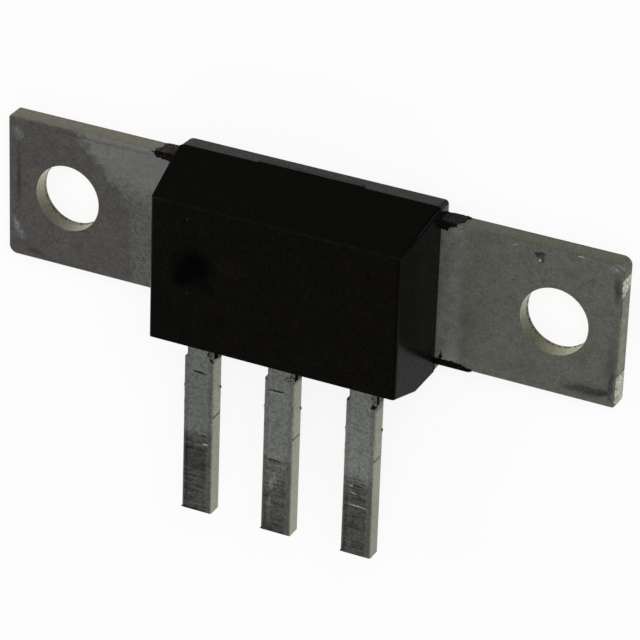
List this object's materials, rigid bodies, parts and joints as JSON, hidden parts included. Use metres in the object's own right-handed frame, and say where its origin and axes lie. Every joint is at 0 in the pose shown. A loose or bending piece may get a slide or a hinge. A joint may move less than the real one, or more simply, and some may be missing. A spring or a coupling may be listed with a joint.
{
  "type": "diode module",
  "caption": "Power diode module with flat parallel leads below a black moulded case on a metal mounting plate with a screw hole in each end",
  "frame": {"origin": "midway between the two screw holes, on the back face of the mounting plate", "axes": "+X along the plate, through both screw holes; the leads point to -Y; +Z out of the front face of the case"},
  "size_m": [0.038, 0.0217, 0.0053],
  "materials": {
    "nickel_plate": "satin",
    "tinned_lead": "satin",
    "black_epoxy": "satin",
    "silicon": "polished",
    "solder": "satin"
  },
  "bodies": {
    "root": {"base_plate": "nickel_plate", "moulded_case": "black_epoxy", "anode_lead_left": "tinned_lead", "cathode_lead": "tinned_lead", "anode_lead_right": "tinned_lead", "schottky_die_left": "silicon", "schottky_die_right": "silicon", "die_solder_left": "solder", "die_solder_right": "solder", "lead_solder_left": "solder", "lead_solder_right": "solder", "cathode_solder": "solder"}
  },
  "joints": []
}
